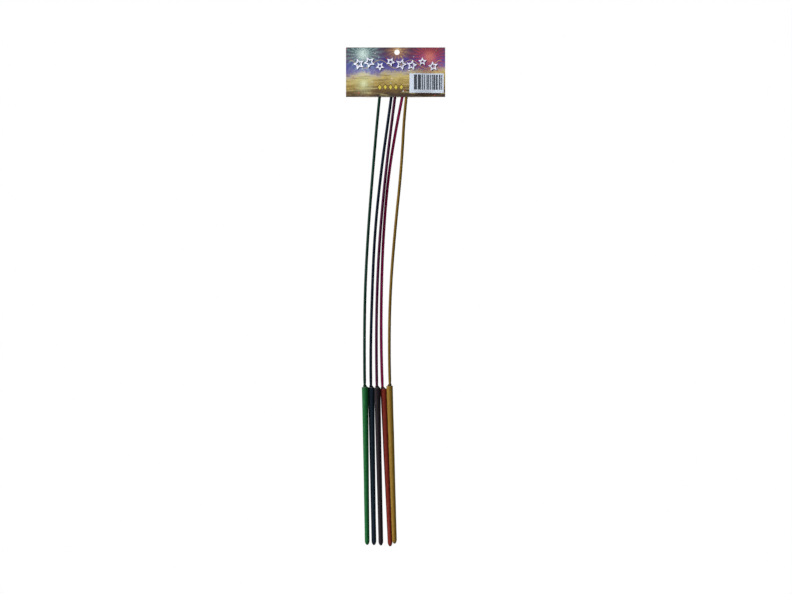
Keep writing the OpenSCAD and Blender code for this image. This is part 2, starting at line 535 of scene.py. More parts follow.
@dataclass(frozen=True)
class Streamer:
    """A thin waving streamer that runs behind the stars, in millimetres."""

    start: float = 4.0
    end: float = 96.0
    level: float = 33.0
    wave: float = 31.0
    swing: float = 4.2
    phase: float = 0.9
    half_width: float = 0.28
    soft: float = 0.15
    end_soft: float = 0.5
    strength: float = 0.8
    colour: Colour = srgb(196, 168, 96)

    def lay(self, sheet: Sheet, under: Socket) -> Socket:
        """Prints the streamer, equally wide all along.

        Args:
            sheet: the card's outside.
            under: what is printed already.

        Returns:
            The new colour.
        """
        turn = 2 * math.pi / self.wave
        phase = sheet.u * turn + self.phase
        steep = phase.math("COSINE") * (self.swing * turn)
        off = (sheet.v - self.level - phase.math("SINE") * self.swing).math("ABSOLUTE")
        off = off / (steep * steep + 1.0).math("SQRT")
        line = off.rise(self.half_width + self.soft, self.half_width - self.soft)
        span = sheet.u.between(self.start, self.end, self.end_soft)
        return sheet.lay(line * span * self.strength, under, self.colour)


@dataclass(frozen=True)
class StarRow:
    """A row of outlined stars with drop shadows, in millimetres.

    The rates and the phase, in radians, give each star its own level, size and turn.
    """

    start: float = 7.5
    pitch: float = 10.7
    count: int = 8
    level: float = 33.2
    sway: float = 2.6
    sway_rate: float = 2.4
    size: float = 5.3
    size_spread: float = 0.9
    size_rate: float = 1.7
    size_phase: float = 0.6
    turn_rate: float = 1.1
    points: int = 5
    waist: float = 0.47
    stroke: float = 1.05
    soft: float = 0.12
    shadow: float = 0.9
    shadow_strength: float = 0.9
    colour: Colour = srgb(232, 234, 250)
    shadow_colour: Colour = srgb(22, 18, 40)

    def outlines(self, u: Field, v: Field) -> Field:
        """Mask of the stars' outlines.

        Args:
            u: place across the card.
            v: place up the card.

        Returns:
            The mask.
        """
        cell = ((u - self.start) / self.pitch).math("FLOOR")
        du = u - self.start - (cell + 0.5) * self.pitch
        dv = v - (cell * self.sway_rate).math("SINE") * self.sway - self.level
        swing = (cell * self.size_rate + self.size_phase).math("SINE")
        size = swing * self.size_spread + self.size
        point = 2 * math.pi / self.points
        turn = dv.math("ARCTAN2", du) + cell * self.turn_rate
        sector = turn.math("FLOORED_MODULO", point) - point / 2
        reach = (du * du + dv * dv).math("SQRT") / size
        px = reach * sector.math("COSINE") - 1.0
        py = (reach * sector.math("SINE")).math("ABSOLUTE")
        waist_x, waist_y = self.waist * math.cos(point / 2), self.waist * math.sin(point / 2)
        edge = math.hypot(waist_y, 1 - waist_x)
        beyond = (px * (waist_y / edge) + py * ((1 - waist_x) / edge)) * size
        half = self.stroke / 2
        ring = (beyond + half).math("ABSOLUTE").rise(half + self.soft, half - self.soft)
        return ring * cell.between(-0.5, self.count - 0.5, 0.2)

    def lay(self, sheet: Sheet, under: Socket) -> Socket:
        """Prints the stars over their shadows.

        Args:
            sheet: the card's outside.
            under: what is printed already.

        Returns:
            The new colour.
        """
        shadows = self.outlines(sheet.u - self.shadow, sheet.v + self.shadow)
        under = sheet.lay(shadows * self.shadow_strength, under, self.shadow_colour)
        return sheet.lay(self.outlines(sheet.u, sheet.v), under, self.colour)


@dataclass(frozen=True)
class DiamondRow:
    """A row of small gold diamonds with brown edges, in millimetres."""

    start: float = 31.4
    pitch: float = 5.4
    count: int = 5
    level: float = 9.6
    slimness: float = 0.7
    edge: float = 2.45
    gold: float = 1.75
    soft: float = 0.15
    end_soft: float = 0.05
    edge_colour: Colour = srgb(74, 56, 22)
    gold_colour: Colour = srgb(206, 186, 72)

    def lay(self, sheet: Sheet, under: Socket) -> Socket:
        """Prints each diamond's edge and then its gold.

        Args:
            sheet: the card's outside.
            under: what is printed already.

        Returns:
            The new colour.
        """
        half = self.pitch / 2
        across = (sheet.u - self.start).math("FLOORED_MODULO", self.pitch) - half
        up = (sheet.v - self.level).math("ABSOLUTE") * self.slimness
        size = across.math("ABSOLUTE") + up
        end = self.start + self.count * self.pitch
        row = sheet.u.between(self.start, end, self.end_soft)
        for reach, colour in ((self.edge, self.edge_colour), (self.gold, self.gold_colour)):
            under = sheet.lay(size.rise(reach + self.soft, reach - self.soft) * row, under, colour)
        return under


@dataclass(frozen=True)
class BarPanel:
    """A white panel with upright bars of random widths, in millimetres."""

    left: float = 64.0
    right: float = 98.5
    low: float = 4.0
    high: float = 23.7
    soft: float = 0.08
    bars_left: float = 66.6
    bars_right: float = 97.3
    bars_low: float = 7.2
    bars_high: float = 22.4
    bars_soft: float = 0.05
    bar: float = 0.5
    seed: float = 13.0
    gaps: float = 0.4
    strength: float = 0.92
    colour: Colour = srgb(206, 216, 230)
    bar_colour: Colour = srgb(30, 36, 48)

    def lay(self, sheet: Sheet, under: Socket) -> Socket:
        """Prints the panel and the bars on it.

        Args:
            sheet: the card's outside.
            under: what is printed already.

        Returns:
            The new colour.
        """
        paint, u, v = sheet.paint, sheet.u, sheet.v
        across = u.between(self.left, self.right, self.soft)
        up = v.between(self.low, self.high, self.soft)
        under = sheet.lay(across * up, under, self.colour)
        column = paint.add("ShaderNodeTexWhiteNoise")
        column.noise_dimensions = "1D"
        feed(paint.tree, column.inputs["W"], ((u + self.seed) / self.bar).math("FLOOR"))
        bar = paint.number(column.outputs["Value"]).math("GREATER_THAN", self.gaps)
        span = u.between(self.bars_left, self.bars_right, self.bars_soft)
        rows = v.between(self.bars_low, self.bars_high, self.bars_soft)
        return sheet.lay(bar * (span * rows) * self.strength, under, self.bar_colour)


@dataclass(frozen=True)
class BackPanel:
    """A bare cream panel with a violet rim on the card's back, in millimetres."""

    left: float = 8.0
    right: float = 92.0
    low: float = 6.0
    high: float = 39.0
    rim: float = 0.8
    soft: float = 0.1
    rim_strength: float = 0.9
    rim_colour: Colour = srgb(70, 56, 96)
    strength: float = 0.94
    colour: Colour = srgb(208, 200, 182)

    def lay(self, sheet: Sheet, under: Socket) -> Socket:
        """Prints the rim and the panel on the back alone.

        Args:
            sheet: the card's outside.
            under: what is printed already.

        Returns:
            The new colour.
        """
        back = sheet.front.flipped()
        for rim, strength, colour in (
            (self.rim, self.rim_strength, self.rim_colour),
            (0.0, self.strength, self.colour),
        ):
            across = sheet.u.between(self.left - rim, self.right + rim, self.soft)
            up = sheet.v.between(self.low - rim, self.high + rim, self.soft)
            under = sheet.paint.mix(across * up * back * strength, under, colour)
        return under


@dataclass(frozen=True)
class CardPrint:
    """Gloss print on the card's outside; the card's edges are millimetres in the row frame."""

    left: float
    right: float
    bottom: float
    top: float
    ground: Dusk = Dusk()
    motifs: tuple[Motif, ...] = (
        Sparks(), Confetti(), Streamer(), StarRow(), DiamondRow(), BarPanel(), BackPanel(),
    )
    density: float = 0.16
    rubbed: Colour = srgb(190, 184, 178)
    rubbed_fold: float = 0.6
    rubbed_edge: float = 0.5
    beyond: float = 0.1
    shine: float = 0.35
    coat: float = 0.15
    coat_rough: float = 0.22
    relief: float = 0.012

    def material(self) -> bpy.types.Material:
        """Builds the printed finish.

        Returns:
            The material for the card's outer face.
        """
        paint = Surface("card_print")
        x, y, z = paint.place()
        u, v = x - self.left, z - self.bottom
        flat = paint.joined(u, v, 0.0)
        sheet = Sheet(paint, u, v, flat, front=y.math("LESS_THAN", 0.0))
        colour = self.ground.colour(sheet)
        for motif in self.motifs:
            colour = motif.lay(sheet, colour)
        body = paint.joined(x, y, z)
        wear = self.wear(x, z, paint.cloud(body, 0.7, 4.0, 0.7))
        colour = paint.mix(self.density, colour, BLACK)
        colour = paint.mix(wear, colour, self.rubbed)
        rough = paint.cloud(flat, 0.12, 2.0) * 0.16 + 0.28 + wear * 0.3
        paint.put("Coat Weight", self.coat)
        paint.put("Coat Roughness", self.coat_rough)
        return paint.finished(colour, rough, paint.cloud(body, 2.2, 2.0), self.relief, self.shine)

    def wear(self, x: Field, z: Field, spots: Field) -> Field:
        """Mask of rubbed print along the fold and the cut edges.

        Args:
            x: place across, in the row frame.
            z: place up, in the row frame.
            spots: noise that breaks up the wear.

        Returns:
            The mask.
        """
        half = (self.right - self.left) / 2
        out = (x - self.left - half).math("ABSOLUTE")
        fold = z.rise(self.top - self.rubbed_fold, self.top + self.beyond) * 0.85
        sides = out.rise(half - self.rubbed_edge, half + self.beyond) * 0.8
        foot = z.rise(self.bottom + self.rubbed_edge, self.bottom - self.beyond) * 0.8
        edge = fold.math("MAXIMUM", sides).math("MAXIMUM", foot)
        return (edge * 0.9 + spots - 1.0).rise(0.0, 0.5) * 0.7


@dataclass(frozen=True)
class BoardFinish:
    """Unprinted card: the sheet's inner face and its cut edges."""

    colour: Colour = srgb(214, 209, 200)
    fibres: Colour = srgb(186, 178, 164)
    rough: float = 0.82
    relief: float = 0.02

    def material(self) -> bpy.types.Material:
        """Builds the bare card finish.

        Returns:
            The material.
        """
        board = Surface("card_board")
        fibre = board.cloud(board.body(), 1.6, 4.0, 0.65)
        colour = board.mix(fibre.rise(0.35, 0.75) * 0.5, self.colour, self.fibres)
        return board.finished(colour, self.rough, fibre, self.relief)


@dataclass(frozen=True)
class TapeFinish:
    """Milky double-sided tape with a tacky, slightly uneven face."""

    colour: Colour = srgb(222, 218, 204)
    glue: Colour = srgb(198, 190, 166)
    relief: float = 0.02

    def material(self) -> bpy.types.Material:
        """Builds the tape finish.

        Returns:
            The material.
        """
        tape = Surface("tape_film")
        blotch = tape.cloud(tape.body(), 0.5)
        colour = tape.mix(blotch.rise(0.4, 0.7) * 0.4, self.colour, self.glue)
        return tape.finished(colour, blotch * 0.3 + 0.2, blotch, self.relief)


@dataclass(frozen=True)
class BambooFinish:
    """Dyed bamboo: long fibres that took the dye unevenly, and a paler ring at each knot."""

    name: str
    deep: Colour
    pale: Colour
    hair_shade: float = 0.45
    shine: float = 0.06
    relief: float = 0.03

    def material(self) -> bpy.types.Material:
        """Builds the dyed stick finish; it reads the stick's fibre and knot attributes.

        Returns:
            The material.
        """
        wood = Surface(f"dyed_bamboo_{self.name}")
        own = wood.own("fibre")
        ring, _, _ = wood.own("knot")
        streak = wood.cloud(wood.stretched(own, 1.0, 0.03), 1.6, 4.0, 0.6)
        hair = wood.cloud(wood.stretched(own, 3.0, 0.05), 2.4, 2.0, 0.5)
        patch = wood.cloud(wood.stretched(own, 0.0, 0.04), 1.0, 2.0)
        took = streak.rise(0.38, 0.72) * 0.45 + patch.rise(0.45, 0.7) * 0.12
        colour = wood.mix(took, self.deep, self.pale)
        colour = wood.mix(hair.rise(0.6, 0.75) * 0.4, colour, shade(self.deep, self.hair_shade))
        colour = wood.mix(ring * 0.45, colour, self.pale)
        return wood.finished(colour, hair * 0.2 + 0.3, hair + streak, self.relief, self.shine)


@dataclass(frozen=True)
class PaperFinish:
    """Dyed paper, rolled into a tube: fibre, faint creases and a paler cut rim."""

    name: str
    deep: Colour
    pale: Colour
    rim_shade: float = 0.5
    rim_lift: float = 0.22
    shine: float = 0.08
    relief: float = 0.05

    def material(self) -> bpy.types.Material:
        """Builds the dyed paper finish; it reads the tube's roll attribute.

        Returns:
            The material.
        """
        paper = Surface(f"dyed_paper_{self.name}")
        own = paper.own("roll")
        depth = own[2]
        fibre = paper.cloud(paper.stretched(own, 2.4, 1.0), 1.4, 5.0, 0.65)
        mottle = paper.cloud(paper.stretched(own, 1.0, 0.12), 1.1)
        crease = paper.cloud(paper.stretched(own, 1.2, 0.5), 1.0, 2.0)
        share = mottle.rise(0.35, 0.7) * 0.5 + fibre.rise(0.5, 0.75) * 0.3
        colour = paper.mix(share, self.deep, self.pale)
        rim = depth.rise(0.35, 0.0) * 0.5 + (fibre - 0.5) * depth.rise(1.5, 0.0)
        colour = paper.mix(rim, colour, shade(self.pale, self.rim_shade, self.rim_lift))
        return paper.finished(colour, fibre * 0.2 + 0.5, fibre * 0.6 + crease, self.relief, self.shine)


@dataclass(frozen=True)
class PrimeFinish:
    """Primed nose: dyed paper that turns into a rough, darker tip with a few pale grains."""

    name: str
    dyed: Colour
    primed: Colour
    grains: Colour = srgb(120, 118, 116)
    shine: float = 0.08
    relief: float = 0.12

    def material(self) -> bpy.types.Material:
        """Builds the primed finish; it reads the tip's roll attribute.

        Returns:
            The material.
        """
        prime = Surface(f"primed_tip_{self.name}")
        own = prime.own("roll")
        vector = prime.stretched(own, 2.0, 1.0)
        grain = prime.cloud(vector, 3.2, 4.0, 0.7)
        crust = (own[2] + grain * 2.0).rise(2.6, 4.2)
        near, _ = prime.scatter(vector, 4.0)
        colour = prime.mix(crust, self.dyed, self.primed)
        colour = prime.mix(near.rise(0.16, 0.08) * crust * 0.5, colour, self.grains)
        return prime.finished(colour, grain * 0.25 + 0.62, grain, self.relief, self.shine)


@dataclass(frozen=True)
class GrainFinish:
    """Pressed powder, such as clay or spark composition."""

    name: str
    deep: Colour
    pale: Colour
    fleck: Colour
    rough: float = 0.86
    shine: float = 0.1
    relief: float = 0.08

    def material(self) -> bpy.types.Material:
        """Builds the pressed powder finish.

        Returns:
            The material.
        """
        powder = Surface(self.name)
        vector = powder.body()
        grain = powder.cloud(vector, 2.6, 5.0, 0.7)
        near, _ = powder.scatter(vector, 1.8)
        colour = powder.mix(grain.rise(0.35, 0.7), self.deep, self.pale)
        colour = powder.mix(near.rise(0.18, 0.1) * 0.7, colour, self.fleck)
        return powder.finished(colour, self.rough, grain, self.relief, self.shine)


def set_finish(node: str, material: bpy.types.Material) -> None:
    """Gives a CAD node its finish.

    Args:
        node: the node's name.
        material: the finish.
    """
    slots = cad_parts[node].data.materials
    slots.clear()
    slots.append(material)


def add_object(name: str, data: bpy.types.ID) -> bpy.types.Object:
    """Links data into the scene as an object at the origin.

    Args:
        name: the object's name.
        data: its mesh, light or camera.

    Returns:
        The new object.
    """
    made = bpy.data.objects.new(name, data)
    bpy.context.scene.collection.objects.link(made)
    return made


def meshed(name: str, shape: bmesh.types.BMesh, *finishes: bpy.types.Material) -> bpy.types.Mesh:
    """Turns a finished shape into a mesh and frees the shape.

    Args:
        name: the mesh's name.
        shape: the shape, in metres in the row frame.
        finishes: the mesh's materials.

    Returns:
        The mesh.
    """
    mesh = bpy.data.meshes.new(name)
    for finish in finishes:
        mesh.materials.append(finish)
    shape.to_mesh(mesh)
    shape.free()
    return mesh


def smooth(mesh: bpy.types.Mesh, crisp: float) -> None:
    """Shades a mesh smooth but keeps its crisp edges.

    Args:
        mesh: the mesh.
        crisp: angle in degrees from which an edge stays crisp.
    """
    for face in mesh.polygons:
        face.use_smooth = True
    mesh.set_sharp_from_angle(angle=math.radians(crisp))


def plain_mesh(piece: bpy.types.Object) -> None:
    """Replaces a piece's mesh by its evaluated one and removes its modifiers.

    Args:
        piece: the piece.
    """
    graph = bpy.context.evaluated_depsgraph_get()
    made = bpy.data.meshes.new_from_object(piece.evaluated_get(graph))
    made.name = piece.name
    old = piece.data
    piece.modifiers.clear()
    piece.data = made
    bpy.data.meshes.remove(old)


class CardFace(Enum):
    """The card's two finishes, by their place in its list of materials."""

    PRINT = 0
    BOARD = 1


@dataclass(frozen=True)
class HeaderCard:
    """The folded card: one sheet over the stick ends, flat at the sides and round the hang hole.

    Sizes are millimetres in the row frame, as in the part's source.
    """

    left: float = -51.4
    right: float = 48.6
    bottom: float = -45.0
    top: float = 5.0
    ply: float = 0.4
    ply_gap: float = 0.34
    pocket: float = 3.2
    pocket_left: float = -20.41
    pocket_right: float = 15.13
    pocket_top: float = -20.5
    press: float = -4.15
    swell: float = 24.0
    side_flat: float = 4.0
    hole: float = 5.3
    punch_l: float = 8.0
    crisp: float = 40.0
    columns: int = 120
    rows: int = 60
    fold_steps: int = 10
    hole_sides: int = 72

    def half_gap(self, x: float, z: float) -> float:
        """Half the distance between the plies' inner faces.

        Args:
            x: place across the card.
            z: place up the card.

        Returns:
            The half distance, in millimetres.
        """
        left = min(self.swell, self.pocket_left - self.left - self.side_flat)
        right = min(self.swell, self.right - self.pocket_right - self.side_flat)
        side = ease(min((x - self.pocket_left) / left, (self.pocket_right - x) / right) + 1)
        down = ease((self.press - z) / (self.press - self.pocket_top))
        return self.ply_gap / 2 + (self.pocket - self.ply_gap / 2) * side * down

    def sheet_line(self, x: float, grow: float) -> list[Vector]:
        """Points of the sheet at one x, from the front edge over the fold to the back edge.

        Args:
            x: place across the card.
            grow: 0 on the inner face, the ply's thickness on the outer face.

        Returns:
            The points, in millimetres.
        """
        fold = self.top - self.ply - self.ply_gap / 2
        levels = [self.bottom + (fold - self.bottom) * k / self.rows for k in range(self.rows + 1)]
        gaps = [self.half_gap(x, z) + grow for z in levels]
        radius = self.ply_gap / 2 + grow
        angles = [math.pi * k / self.fold_steps for k in range(1, self.fold_steps)]
        front = [Vector((x, -gap, z)) for gap, z in zip(gaps, levels)]
        over = [Vector((x, -radius * math.cos(a), fold + radius * math.sin(a))) for a in angles]
        back = [Vector((x, gap, z)) for gap, z in zip(reversed(gaps), reversed(levels))]
        return front + over + back

    def build(self) -> bpy.types.Object:
        """Builds the folded sheet and punches the hang hole.

        Returns:
            The card's piece, with print outside and bare board inside and on its edges.
        """
        shape = bmesh.new()
        width = self.right - self.left
        xs = [self.left + width * k / self.columns for k in range(self.columns + 1)]
        outer, inner = (
            [[shape.verts.new(point * MM) for point in self.sheet_line(x, grow)] for x in xs]
            for grow in (self.ply, 0.0)
        )
        last, end = len(xs) - 1, len(outer[0]) - 1
        for i, j in product(range(last), range(end)):
            patch = ((i, j), (i + 1, j), (i + 1, j + 1), (i, j + 1))
            turned = ((i, j), (i, j + 1), (i + 1, j + 1), (i + 1, j))
            for grid, corners, face in ((outer, patch, CardFace.PRINT), (inner, turned, CardFace.BOARD)):
                shape.faces.new([grid[a][b] for a, b in corners]).material_index = face.value
        rim = [(i, 0) for i in range(last)] + [(last, j) for j in range(end)]
        rim += [(i, end) for i in range(last, 0, -1)] + [(0, j) for j in range(end, 0, -1)]
        for (i, j), (m, n) in zip(rim, rim[1:] + rim[:1]):
            cut_edge = shape.faces.new((outer[i][j], inner[i][j], inner[m][n], outer[m][n]))
            cut_edge.material_index = CardFace.BOARD.value
        bmesh.ops.recalc_face_normals(shape, faces=shape.faces)
        inks = CardPrint(self.left, self.right, self.bottom, self.top)
        mesh = meshed("folded_card", shape, inks.material(), BoardFinish().material())
        card = add_object(mesh.name, mesh)
        self.punch(card)
        smooth(card.data, self.crisp)
        return card

    def punch(self, card: bpy.types.Object) -> None:
        """Cuts the hang hole through both plies.

        Args:
            card: the card's piece.
        """
        shape = bmesh.new()
        radius = self.hole / 2 * MM
        bmesh.ops.create_cone(
            shape, cap_ends=True, segments=self.hole_sides, radius1=radius, radius2=radius,
            depth=self.punch_l * MM, matrix=Matrix.Rotation(math.pi / 2, 4, "X"),
        )
        mesh = meshed("hole_punch", shape, card.data.materials[CardFace.BOARD.value])
        tool = add_object(mesh.name, mesh)
        cut = card.modifiers.new("hang_hole", "BOOLEAN")
        cut.operation = "DIFFERENCE"
        cut.solver = "EXACT"
        cut.material_mode = "TRANSFER"
        cut.object = tool
        plain_mesh(card)
        bpy.data.objects.remove(tool)
        bpy.data.meshes.remove(mesh)

    def dress(self) -> list[bpy.types.Object]:
        """Builds the card, lets it stand for its node and finishes the tape.

        Returns:
            The new pieces.
        """
        card = self.build()
        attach(card, "card")
        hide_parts("header_card")
        set_finish("tape_strip", TapeFinish().material())
        return [card]


class StickTree(Wiring):
    """Geometry Nodes that sweep a grooved bamboo stick along a line of points."""

    INPUTS = (
        ("Diameter", "NodeSocketFloat"),
        ("Sides", "NodeSocketInt"),
        ("Groove", "NodeSocketFloat"),
        ("Seed", "NodeSocketFloat"),
        ("Finish", "NodeSocketMaterial"),
    )
    GRAIN_SCALE = 1.9
    GRAIN_LENGTH = 12.0
    GRAIN_LEVEL = 0.6

    def __init__(self) -> None:
        """Builds the tree once."""
        super().__init__(bpy.data.node_groups.new("bamboo_stick", "GeometryNodeTree"))
        face = self.tree.interface
        face.new_socket("Line", in_out="INPUT", socket_type="NodeSocketGeometry")
        self.sockets = {
            name: face.new_socket(name, in_out="INPUT", socket_type=kind) for name, kind in self.INPUTS
        }
        face.new_socket("Stick", in_out="OUTPUT", socket_type="NodeSocketGeometry")
        self.wire()

    def kept(self, curve: Socket, value: Socket, label: str) -> tuple[Socket, Field]:
        """Keeps a value of a curve for the swept mesh.

        Args:
            curve: the curve.
            value: the value to keep.
            label: name of the kept value.

        Returns:
            The curve and the kept value.
        """
        node = self.add("GeometryNodeCaptureAttribute", Geometry=curve)
        node.capture_items.new("FLOAT", label)
        feed(self.tree, node.inputs[label], value)
        return node.outputs["Geometry"], self.number(node.outputs[label])

    def named(self, name: str) -> Socket:
        """The line's own number of that name."""
        return self.add("GeometryNodeInputNamedAttribute", Name=name).outputs["Attribute"]

    def stored(self, mesh: Socket, name: str, vector: Socket) -> Socket:
        """Stores a vector on the mesh for the finish.

        Args:
            mesh: the mesh.
            name: the attribute's name.
            vector: the vector.

        Returns:
            The mesh with the attribute.
        """
        node = self.add("GeometryNodeStoreNamedAttribute", Geometry=mesh, Name=name)
        node.data_type = "FLOAT_VECTOR"
        feed(self.tree, node.inputs["Value"], vector)
        return node.outputs["Geometry"]

    def wire(self) -> None:
        """Wires the sweep: line, girth, ring of points, grooves, finish."""
        given = self.add("NodeGroupInput").outputs
        line = self.add("GeometryNodeMeshToCurve", Mesh=given["Line"]).outputs[0]
        length = self.add("GeometryNodeSplineParameter").outputs["Length"]
        line, along = self.kept(line, length, "along")
        line, thick = self.kept(line, self.named("girth"), "thick")
        line, ring = self.kept(line, self.named("ring"), "knot")
        radius = self.number(given["Diameter"]) * 0.5
        circle = self.add("GeometryNodeCurvePrimitiveCircle", Resolution=given["Sides"], Radius=radius)
        part = self.add("GeometryNodeSplineParameter").outputs["Factor"]
        profile, around = self.kept(circle.outputs["Curve"], part, "around")
        stick = self.add(
            "GeometryNodeCurveToMesh", Curve=line, Profile_Curve=profile, Scale=thick, Fill_Caps=True,
        ).outputs[0]
        angle = around * (2 * math.pi)
        x, y = angle.math("COSINE"), angle.math("SINE")
        stick = self.stored(stick, "fibre", self.joined(x, y, along * MM_PER_M))
        stick = self.stored(stick, "knot", self.joined(ring, 0.0, 0.0))
        grain = self.add("ShaderNodeTexNoise")
        grain.noise_dimensions = "4D"
        for name, value in (
            ("Vector", self.joined(x, y, along * self.GRAIN_LENGTH)), ("W", given["Seed"]),
            ("Scale", self.GRAIN_SCALE), ("Detail", 2.0),
        ):
            feed(self.tree, grain.inputs[name], value)
        depth = (self.number(grain.outputs["Fac"]) - self.GRAIN_LEVEL) * self.number(given["Groove"])
        push = self.add("ShaderNodeVectorMath")
        push.operation = "SCALE"
        feed(self.tree, push.inputs[0], self.add("GeometryNodeInputNormal").outputs[0])
        feed(self.tree, push.inputs["Scale"], depth)
        stick = self.add("GeometryNodeSetPosition", Geometry=stick, Offset=push.outputs[0]).outputs[0]
        stick = self.add("GeometryNodeSetShadeSmooth", Geometry=stick).outputs[0]
        stick = self.add("GeometryNodeRealizeInstances", Geometry=stick).outputs[0]
        stick = self.add("GeometryNodeSetMaterial", Geometry=stick, Material=given["Finish"]).outputs[0]
        feed(self.tree, self.add("NodeGroupOutput").inputs[0], stick)

    def apply(self, piece: bpy.types.Object, values: dict[str, object]) -> None:
        """Runs the tree on a line of points and keeps the plain mesh.

        Args:
            piece: the object that holds the line.
            values: the tree's inputs by name.
        """
        sweep = piece.modifiers.new("sweep", "NODES")
        sweep.node_group = self.tree
        for name, value in values.items():
            sweep[self.sockets[name].identifier] = value
        plain_mesh(piece)


@dataclass(frozen=True)
class Bunch:
    """Sizes that all five fountains share, in millimetres, as in the part's source.

    The lead bow is the leftmost stick's; its height sets how the two layers spread.
    """

    lead_bow: tuple[float, ...]
    card_bottom: float
    stick_d: float = 2.7
    stick_l: float = 315.0
    hold: float = 22.0
    seat: float = 20.0
    tube_l: float = 155.5
    mouth_d: float = 6.4
    end_d: float = 4.4
    taper: float = 1.6
    wall: float = 0.4
    loose_mouth: float = 0.06
    loose_end: float = 0.2
    nose_l: float = 3.5
    nose_r: float = 0.6
    spigot_l: float = 5.0
    fit: float = 0.05
    seat_wall: float = 0.2
    layer_y: float = 1.65
    tip_spread: float = 2.4
    middle_x: float = -19.8
    tube_gap: float = 0.35
    middle: int = 2

    def tube_r(self, depth: float) -> float:
        """Outer radius of a tube at a depth below its mouth."""
        left = max(0.0, 1 - depth / self.tube_l)
        return (self.end_d + (self.mouth_d - self.end_d) * left ** self.taper) / 2

    def skin_r(self, depth: float) -> float:
        """Radius of the paper's loose outer turn at a depth below the mouth."""
        loosened = (self.loose_end - self.loose_mouth) * ease(2 * depth / self.tube_l)
        return self.tube_r(depth) + self.loose_mouth + loosened

    def bore_r(self, depth: float) -> float:
        """Inner radius of a tube at a depth below its mouth."""
        return self.tube_r(depth) - self.wall

    def seat_room(self) -> float:
        """How far a stick can stand off its tube's axis."""
        return self.bore_r(self.seat) - 2 * self.fit - self.stick_d / 2 - self.seat_wall

    def stick_top(self) -> float:
        """Common level of the sticks' upper ends."""
        return self.card_bottom + self.hold

    def rise(self) -> float:
        """Height of the leftmost stick above its tube's mouth."""
        return self.path(self.lead_bow, self.stick_l)[1]

    def splay(self) -> float:
        """Angle between a layer and the upright, from the tape to the tips."""
        height = self.rise() + self.tube_l + self.nose_l
        return math.atan((self.tip_spread / 2 - self.layer_y) / height)

    def pitch(self) -> float:
        """Distance across between neighbouring mouths."""
        spread = 2 * (self.layer_y + self.rise() * math.tan(self.splay()))
        return math.sqrt((self.mouth_d + self.tube_gap) ** 2 - spread ** 2)

    def path(self, bow: Sequence[float], height: float) -> tuple[float, float]:
        """Centre line of a stick: a chain of equal arcs.

        Args:
            bow: the stick's leans in degrees, at equal steps up from the tube's mouth.
            height: length along the stick above the mouth, negative inside the plug.

        Returns:
            Place across and up from the mouth.
        """
        leans = [math.radians(lean) for lean in bow]
        if height <= 0:
            return height * math.sin(leans[0]), height * math.cos(leans[0])
        step = self.stick_l / (len(leans) - 1)
        across = up = 0.0
        for start, end in zip(leans, leans[1:]):
            share = min(1.0, height / step)
            lean = start + (end - start) * share
            if abs(end - start) < STRAIGHT:
                across += share * step * math.sin(start)
                up += share * step * math.cos(start)
            else:
                radius = step / (end - start)
                across += radius * (math.cos(start) - math.cos(lean))
                up += radius * (math.sin(lean) - math.sin(start))
            height -= step
            if height <= 0:
                break
        return across, up


